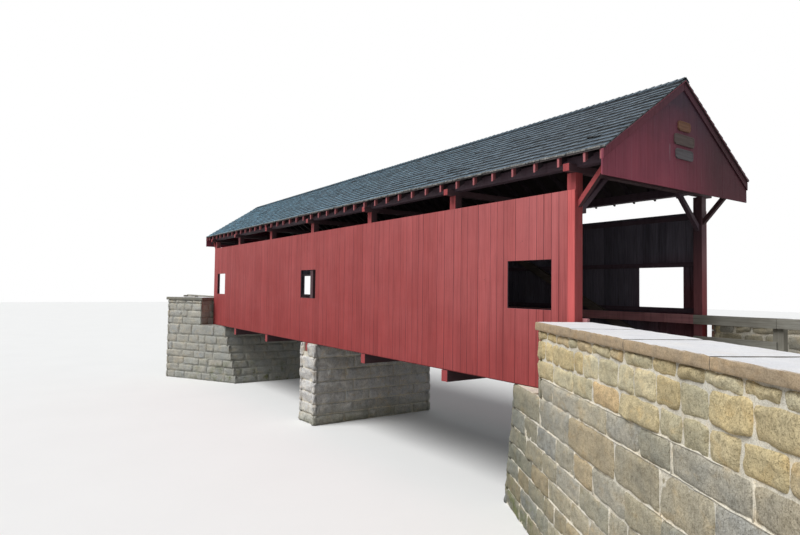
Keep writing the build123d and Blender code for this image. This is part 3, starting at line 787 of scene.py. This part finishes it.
# Painted shade with some grime: a dark band at the top of each course, under the butts of the course above.
shadow_and_grime = spread(plus(up_course, times(cloud(place, 9.0), 0.25)), 0.72, 0.94)
tint = multiply(times(shadow_and_grime, 0.9), tint, (0.15, 0.16, 0.16))
# A paler strip along the lower edge of each course, just above its butt.
pale_lower_edge = spread(plus(up_course, cloud(place, (11.0, 4.0, 4.0))), 0.45, 0.85, 0.55, 0.0)
tint = mix(pale_lower_edge, tint, (0.21, 0.25, 0.275))
tint = multiply(spread(cloud(place, 0.8), 0.45, 0.7, 0.0, 0.5), tint, (0.7, 0.72, 0.68))
pale = spread(cloud(place, (26.0, 5.0, 5.0), 4.0, 0.65), 0.57, 0.72, 0.0, 0.6)
tint = mix(pale, tint, (0.27, 0.32, 0.34))
wood_surface(place, "y", tint, 0.6, 0.003)

# Painted shade: the butt faces are near black, standing in for the shade under each course, over dirty end grain; the
# eave course, which nothing shades, is paler.
butt_wood, place = new_finish("shingle_butts", 0.9)
tint = mix(cloud(place, 12.0), (0.012, 0.013, 0.014), (0.050, 0.054, 0.058))
eave_cloud = spread(cloud(place, (14.0, 9.0, 9.0), 5.0, 0.7), 0.35, 0.65)
eave_tint = mix(eave_cloud, (0.06, 0.065, 0.068), (0.37, 0.37, 0.35))
tint = mix(spread(own_value("tone"), 1.4, 1.6), tint, eave_tint)
wood_surface(place, "y", tint, 0.6, 0.002)

plate_top, wall_y, board_thickness = 7.2153, 2.318, 0.024
shingle_thickness, shingle_gap, shingle_reach, foot_level, head_levels = 0.0216, 0.005, 1.42, 0.0168, (0.002, 0.0095)


def roof_top(y):
    """Upper face of the roof boards over a distance from the middle of the bridge."""
    return plate_top + (wall_y - abs(y)) * roof_slope + board_thickness


for side, sign_y in sides:
    rng = random.Random(300 + sign_y)
    shape, tones = new_boards()
    for course in range(int(eave_y / course_run) + 1):
        butt = eave_y - course * course_run
        start = -roof_end
        while roof_end - start > 0.02:
            width = rng.uniform(0.09, 0.19)
            if roof_end - start - width < 0.08:
                width = roof_end - start
            curled = max(0.0, noise.noise(Vector((start * 0.9, course * 0.8, 3.0))) - 0.1)
            ragged, skew, lift, swell = (rng.uniform(-0.011, 0.011), rng.uniform(-0.008, 0.008),
                                         max(0.0, rng.gauss(0.0, 0.003)) + 0.022 * curled, rng.uniform(-0.003, 0.005))
            if side == "left" and -11.50 < start < -11.12 and 1.93 < butt < 2.10:
                lift, skew, ragged = rng.uniform(0.012, 0.032), rng.uniform(-0.015, 0.015), rng.uniform(-0.02, 0.01)
            chip = bmesh.ops.create_cube(shape, size=1.0)
            for vertex in chip["verts"]:
                u, v, w = vertex.co
                foot = v > 0
                y = butt + ragged + skew * 2 * u if foot else max(butt - course_run * shingle_reach, 0.0)
                y = min(max(y, 0.0), eave_y + 0.02)
                x = start + width / 2 + u * (width - shingle_gap)
                level = head_levels[w > 0]
                if foot:
                    level = foot_level + lift + (shingle_thickness + swell if w > 0 else -0.008 if course == 0 else 0.0)
                vertex.co = (x, y * sign_y, roof_top(y) + level)
            tone = min(1.0, max(0.0, rng.gauss(0.45, 0.22))) if rng.random() < 0.95 else 1.0
            mark_faces(chip["verts"], tones, tone + 2.0 if course == 0 else tone)
            start += width
    bmesh.ops.recalc_face_normals(shape, faces=shape.faces)
    # The butt faces take the near-black finish of painted shade.
    for face in shape.faces:
        face.material_index = 1 if face.normal.y * sign_y > 0.6 else 0
    finish_mesh(shape, f"shingles_{side}", [shingle_wood, butt_wood], [f"shingle_roof_{side}"])

shape, tones = new_boards()
rng = random.Random(44)
ridge_z, ridge_step = roof_top(0) + 0.046, 0.163
ridge_end, ridge_length, ridge_thickness = 0.18, 0.34, 0.016
count = int(2 * roof_end / ridge_step)
for index in range(count):
    x = roof_end - ridge_end - index * (2 * roof_end - 2 * ridge_end) / (count - 1)
    for sign_y in (1, -1):
        lift = Matrix.Rotation(math.radians(5.4 + rng.uniform(-0.8, 1.0)), 4, "Y")
        lean = Matrix.Rotation(-sign_y * pitch, 4, "X") @ lift
        width = rng.uniform(0.13, 0.15)
        size = Matrix.Diagonal((ridge_length + rng.uniform(-0.02, 0.02), width, ridge_thickness, 1))
        low = Vector((x, sign_y * width / 2 * math.cos(pitch), ridge_z - width / 2 * math.sin(pitch)))
        chip = bmesh.ops.create_cube(shape, size=1.0, matrix=Matrix.Translation(low) @ lean @ size)
        mark_faces(chip["verts"], tones, min(1.0, max(0.0, rng.gauss(0.4, 0.2))))
finish_mesh(shape, "ridge_shingles", [shingle_wood])

# Siding and its girts.
# Rough-sawn upright boards nailed to girts between the posts, butted with thin open joints and painted barn red. The
# eaves strip above them is open, and three windows a side are sawn through the boards.


def weather_boards(place, shade, between, grain_depth):
    """Finish of painted boards: each a little different, with drips, small specks and rough-sawn grain."""
    marks = use_group(rain_marks, {"Position": place})
    shade = multiply(spread(own_value("tone"), 0.0, 1.0, 0.0, between), shade, (1.24, 1.34, 1.36))
    shade = multiply(times(marks["Drips"], 0.45), shade, (0.66, 0.52, 0.52))
    streak = spread(cloud(place, (24.0, 24.0, 0.35), 4.0, 0.6), 0.54, 0.66, 0.0, 0.5)
    shade = multiply(streak, shade, (0.74, 0.62, 0.62))
    shade = mix(times(marks["Specks"], 0.85), shade, (0.10, 0.05, 0.05))
    wood_surface(place, "z", shade, grain_depth, 0.003)


siding_red, place = new_finish("barn_red_boards", 0.7)
x, y, z = split(place)
near_end = below(x, -10.8, -3.0)
clouds = use_group(rain_marks, {"Position": place})["Clouds"]
faded = plus(times(spread(z, 2.7, 6.4), plus(times(near_end, 0.4), 0.3)), times(near_end, 0.18),
             spread(clouds, 0.0, 1.0, -0.02, 0.14))
shade = mix(faded, (0.285, 0.039, 0.038), (0.475, 0.130, 0.130))
last = times(below(x, -10.889, -10.88), spread(y, 2.2, 2.3))
shade = mix(times(last, 0.8), shade, (0.62, 0.115, 0.11))
weather_boards(place, shade, 0.6, 0.30)

# Painted shade: the inner faces of the boards are a dark, cool blue grey that stands in for the shade inside the
# bridge; low down by the near portal they keep some red paint.
inner_wood, place = new_finish("inner_faces_of_boards", 0.9)
tone = own_value("tone")
tint = ramp(tone, [(0.0, (0.13, 0.123, 0.158)), (0.5, (0.17, 0.160, 0.205)), (1.0, (0.225, 0.21, 0.265))])
x, y, z = split(place)
old_paint = times(below(x, -10.4, -9.0), below(z, 4.6, 5.6))
tint = mix(times(old_paint, 0.8), tint, (0.20, 0.055, 0.065))
wood_surface(place, "z", tint, 0.8, 0.004)


def thicken(shape, thickness):
    """Flat outlines given their thickness."""
    push_out(shape, bmesh.ops.extrude_face_region(shape, geom=shape.faces[:])["geom"], (0, 0, thickness))
    bmesh.ops.recalc_face_normals(shape, faces=shape.faces)


def raise_boards(seams, low, high, turn, thickness, gap, rng, cuts=(), trims=(), arris=0.0022):
    """Upright boards between seams: flat blanks, sawn to the trims and cut-outs, then given their thickness."""
    shape, tones = new_boards()
    for left, right in zip(seams, seams[1:]):
        foot = low - rng.uniform(0.0, 0.006)
        size = Matrix.Diagonal((right - left - gap * rng.uniform(0.6, 1.4), high - foot, 1, 1))
        spot = Matrix.Translation(((left + right) / 2, (foot + high) / 2, rng.uniform(0.0, 0.003)))
        blank = bmesh.ops.create_grid(shape, x_segments=1, y_segments=1, size=0.5, matrix=spot @ size)
        mark_faces(blank["verts"], tones, rng.random())
    for point, normal in trims:
        bmesh.ops.bisect_plane(shape, geom=shape.verts[:] + shape.edges[:] + shape.faces[:], dist=1e-5, plane_co=point,
                               plane_no=normal, clear_outer=True)
    for (x_low, x_high), (y_low, y_high) in cuts:
        for point, normal in (((x_low, 0, 0), (1, 0, 0)), ((x_high, 0, 0), (1, 0, 0)), ((0, y_low, 0), (0, 1, 0)),
                              ((0, y_high, 0), (0, 1, 0))):
            near = [face for face in shape.faces if any(x_low - 0.4 < v.co.x < x_high + 0.4 for v in face.verts)]
            parts = near + list({e for f in near for e in f.edges}) + list({v for f in near for v in f.verts})
            bmesh.ops.bisect_plane(shape, geom=parts, dist=1e-5, plane_co=point, plane_no=normal)
        inside = [face for face in shape.faces if x_low < face.calc_center_median().x < x_high
                  and y_low < face.calc_center_median().y < y_high]
        bmesh.ops.delete(shape, geom=inside, context="FACES")
    bmesh.ops.dissolve_limit(shape, angle_limit=0.02, verts=shape.verts, edges=shape.edges)
    thicken(shape, thickness)
    sharp = [edge for edge in shape.edges if edge.calc_face_angle(0) > 1.0]
    bmesh.ops.bevel(shape, geom=sharp, offset=arris, segments=1, affect="EDGES", profile=0.5, material=-1)
    outermost = [min(seams) + 0.03, max(seams) - 0.03]
    for face in shape.faces:
        side = face.calc_center_median().x
        painted = face.normal.z > 0.6 or (abs(face.normal.x) > 0.6 and not outermost[0] < side < outermost[1])
        face.material_index = 0 if painted else 1
    bmesh.ops.transform(shape, matrix=turn, verts=shape.verts)
    if turn.determinant() < 0:
        bmesh.ops.reverse_faces(shape, faces=shape.faces)
    return shape


def board_seams(start, end, widths, rng):
    """Places of the joints between boards of mixed widths."""
    seams = [start]
    while end - seams[-1] > widths[1]:
        seams.append(seams[-1] + rng.uniform(*widths))
    if end - seams[-1] < widths[0] * 0.5:
        seams.pop()
    return seams + [end]


siding_foot, siding_top, siding_thickness, siding_gap = 2.706, 6.47, 0.026, 0.0065
window_levels, window_half = (4.215, 5.190), 0.58
windows = [((centre - window_half, centre + window_half), window_levels) for centre in (-9.92, 0.23, 9.92)]
# The joints round the near window stand where the photograph shows them.
measured_seams = [-house_end, -10.88, -10.68, -10.5, -10.31, -10.13, -9.93, -9.56, -9.22, -9.02, -8.82, -8.43, -8.08,
                  -7.86]
for side, sign_y in sides:
    rng = random.Random(610 + sign_y)
    if side == "left":
        seams = measured_seams + board_seams(measured_seams[-1], house_end, (0.19, 0.34), rng)[1:]
    else:
        seams = board_seams(-house_end, house_end, (0.17, 0.34), rng)
    turn = Matrix(((1, 0, 0, 0), (0, 0, sign_y, wall_y * sign_y), (0, 1, 0, 0), (0, 0, 0, 1)))
    shape = raise_boards(seams, siding_foot, siding_top, turn, siding_thickness, siding_gap, rng, windows)
    finish_mesh(shape, f"siding_boards_{side}", [siding_red, inner_wood], [f"siding_{side}"])
set_finish(shaded_lengthwise, pair("girts"), 0.004)

# Guard rails.
# Planed timbers bolted to the inside of the posts along both sides of the roadway, painted red like the posts.
rail_red = painted_timber("red_rail_timber", "x", (0.60, 0.27, 0.29), 0.3, None)
set_finish(rail_red, ["guard_rails"], wide_arris)

# Gables and barge boards.
# Upright boards hung on the hood rafters and a girt, cut to the slope of the roof, with a barge board nailed over their
# ends. The boards are close-jointed and show dark red paint, deepened by painted shade as the gable faces away from the
# light.


def gable_paint(place, lower, upper):
    """Dark red, lighter towards the foot of the gable and darker towards its peak, with painted shade over its
    right-hand side.
    """
    x, y, z = split(place)
    clouds = use_group(rain_marks, {"Position": place})["Clouds"]
    faded = plus(spread(z, 6.5, 8.6), spread(clouds, 0.0, 1.0, -0.14, 0.18))
    shade = mix(faded, lower, upper)
    # Painted shade over the right-hand side, reaching in unevenly.
    lee_shade = below(plus(y, times(clouds, 0.6)), -1.0, 0.6)
    return multiply(lee_shade, shade, (0.29, 0.31, 0.31))


def stand_across(x, sign):
    """Turns boards that lie flat into an upright wall across the bridge."""
    return Matrix(((0, 0, sign, x), (1, 0, 0, 0), (0, 1, 0, 0), (0, 0, 0, 1)))


gable_x, gable_half, gable_foot, gable_peak, blank_top = 11.785, 2.576, 6.603, 8.7606, 8.9
gable_thickness, tight = 0.023, 0.0008
# Dark, cool red that is partly painted shade, as the gable faces away from the light.
gable_red, place = new_finish("gable_red_boards", 0.7)
shade = gable_paint(place, (0.36, 0.080, 0.120), (0.068, 0.034, 0.058))
streaks = spread(cloud(place, (40.0, 40.0, 0.9), 4.0, 0.65), 0.60, 0.72, 0.0, 0.35)
y = split(place)["Y"]
seam = times(spread(y, 0.46, 0.485), below(y, 0.495, 0.52), spread(cloud(place, (3.0, 3.0, 2.2)), 0.48, 0.6))
shade = mix(times(larger(streaks, seam), 0.7), shade, (0.34, 0.22, 0.26))
weather_boards(place, shade, 0.12, 0.2)
# The barge boards carry the same painted shade on their right-hand side as the gable boards.
barge_red, place = new_finish("red_barge_boards", 0.7)
weather_boards(place, gable_paint(place, (0.26, 0.056, 0.085), (0.12, 0.040, 0.062)), 0.0, 0.3)
for end, sign_x in banks:
    rng = random.Random(820 + sign_x)
    seams = board_seams(-gable_half, 0.49, (0.45, 0.75), rng) + board_seams(0.49, 2.21, (0.4, 0.7), rng)[1:]
    seams.append(gable_half)
    slopes = [((0, gable_peak, 0), (sign * roof_slope, 1, 0)) for sign in (1, -1)]
    turn = stand_across(gable_x * sign_x, sign_x)
    shape = raise_boards(seams, gable_foot, blank_top, turn, gable_thickness, tight, rng, (), slopes, tight)
    finish_mesh(shape, f"gable_boards_{end}", [gable_red, gable_red], [f"gable_{end}"])
set_finish(barge_red, pair("barge_boards", both_ends), narrow_arris)

# Name boards.
# Three small boards with clipped corners and a raised rim, fixed to the near gable and left bare. The upper one keeps
# some of its orange varnish, and the others have gone grey.
name_wood, place = new_finish("name_board_wood", 0.75)
tone = own_value("tone")
tint = ramp(tone, [(0.0, (0.29, 0.145, 0.085)), (0.45, (0.165, 0.125, 0.112)), (1.0, (0.18, 0.17, 0.183))])
wood_surface(place, "y", tint, 0.8, 0.004)
shape, tones = new_boards()
name_x, name_thickness, name_rim, name_clip = 11.81, 0.03, 0.018, 0.04
for width, height, level in ((0.43, 0.19, 7.86), (0.70, 0.21, 7.58), (0.61, 0.20, 7.30)):
    board = bmesh.ops.create_grid(shape, x_segments=1, y_segments=1, size=0.5,
                                  matrix=Matrix.Translation((0, level, 0)) @ Matrix.Diagonal((width, height, 1, 1)))
    bmesh.ops.bevel(shape, geom=board["verts"], offset=name_clip, segments=1, affect="VERTICES", profile=0.5,
                    material=-1)
for face in shape.faces:
    face[tones] = min(1.0, max(0.0, (7.9 - face.calc_center_median().y) / 0.6))
thicken(shape, name_thickness)
fronts = [face for face in shape.faces if face.normal.z > 0.9]
for inward, depth in ((name_rim, 0.0), (0.004, -0.007)):
    bmesh.ops.inset_individual(shape, faces=fronts, thickness=inward, depth=depth)
bmesh.ops.transform(shape, matrix=stand_across(-name_x, -1), verts=shape.verts)
finish_mesh(shape, "bare_name_boards", [name_wood], ["name_boards"])

# Approach rails.
# Unpainted rails on stout posts beside each approach, weathered to silver grey, with a dry joint over each post.
grey_lengthwise = bare_timber("grey_rail_timber", "x", (0.48, 0.47, 0.41), 0.7)
grey_upright = bare_timber("grey_post_timber", "z", (0.44, 0.425, 0.36), 0.7)
set_finish(grey_lengthwise, ["approach_rails"], 0.008)
set_finish(grey_upright, ["approach_posts"], 0.008)

# Camera, floor and light.
# The photograph's own place and lens, a wide pale floor at the foot of the masonry, and soft light from the left.
camera = place_object("camera", bpy.data.cameras.new("camera"))
camera.data.sensor_width, camera.data.lens = 36.0, 25.733
camera.data.clip_end = 400.0
yaw, tilt, roll = math.radians(-34.5211), math.radians(2.0995), math.radians(0.7680)
ahead = Vector((math.cos(tilt) * math.cos(yaw), math.cos(tilt) * math.sin(yaw), math.sin(tilt)))
right = Vector((math.sin(yaw), -math.cos(yaw), 0))
above = right.cross(ahead)
right, above = (math.cos(roll) * right + math.sin(roll) * above, math.cos(roll) * above - math.sin(roll) * right)
spot = Matrix.Translation((-17.884, 10.943, 4.592))
camera.matrix_world = spot @ Matrix((right, above, -ahead)).transposed().to_4x4()
bpy.context.scene.camera = camera

floor_finish, place = new_finish("pale_floor", 0.95)
tint = mix(cloud(place, 0.4, 3.0), (0.82, 0.82, 0.81), (0.86, 0.86, 0.85))
tint = mix(add_node("LightPath").outputs["Is Camera Ray"], (0.36, 0.35, 0.34), tint)
set_surface(tint, cloud(place, 6.0, 3.0), 0.002)
shape = bmesh.new()
bmesh.ops.create_grid(shape, x_segments=1, y_segments=1, size=150.0)
floor = to_object(shape, "floor", [floor_finish])

world = bpy.data.worlds.new("soft_sky")
bpy.context.scene.world = world
world.use_nodes = True
Bench.tree = world.node_tree
Bench.tree.nodes.clear()
rays = add_node("LightPath").outputs
seen = larger(rays["Is Camera Ray"], rays["Is Glossy Ray"], rays["Is Transmission Ray"])
sky = add_node("Background", {"Color": (0.93, 0.96, 1.0, 1), "Strength": 0.30})
backdrop = add_node("Background", {"Color": (1, 1, 1, 1), "Strength": 1.0})
both = add_node("MixShader", {0: seen, 1: sky.outputs[0], 2: backdrop.outputs[0]})
Bench.tree.links.new(both.outputs[0], add_node("OutputWorld").inputs[0])

sun = place_object("soft_sun", bpy.data.lights.new("soft_sun", "SUN"))
sun.data.energy, sun.data.angle = 3.05, math.radians(35)
toward = Vector((0.08, 0.62, 0.78)).normalized()
sun.rotation_euler = toward.to_track_quat("Z", "Y").to_euler()

bpy.context.scene.view_settings.view_transform = "Standard"
